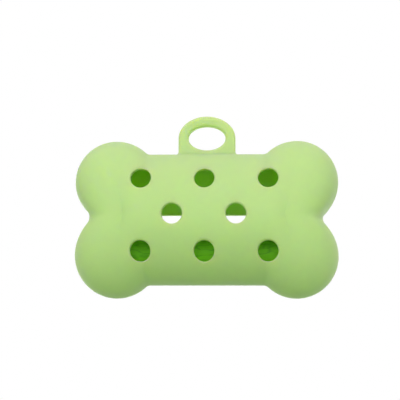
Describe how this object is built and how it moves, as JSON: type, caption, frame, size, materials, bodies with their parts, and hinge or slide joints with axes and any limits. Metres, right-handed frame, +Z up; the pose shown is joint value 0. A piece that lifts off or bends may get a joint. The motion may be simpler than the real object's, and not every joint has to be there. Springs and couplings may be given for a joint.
{
  "type": "dog poop bag dispenser",
  "caption": "Soft bone-shaped case with a hanging loop, peep holes in front and a bag slot behind, holding a loose part-used roll of bags that turns as bags are pulled.",
  "frame": {"origin": "the middle of the oval eye in the hanging loop", "axes": "+X along the bone's length, -Y out of the front with the peep holes, +Y out of the back with the slot, +Z up towards the loop"},
  "size_m": [0.0896, 0.0445, 0.0625],
  "materials": {
    "case": "matte moulded silicone, light green",
    "film": "thin matte bag film, bright green, folded and wound",
    "cardboard": "raw spiral-wound cardboard"
  },
  "bodies": {
    "case": {"bone_case": "case"},
    "roll": {"wound_bags": "film", "roll_core": "cardboard"}
  },
  "joints": [
    {"name": "roll_spin", "type": "hinge", "parent": "case", "child": "roll", "pos_m": [0, 0, -0.03915], "axis": [1, 0, 0], "continuous": true}
  ]
}
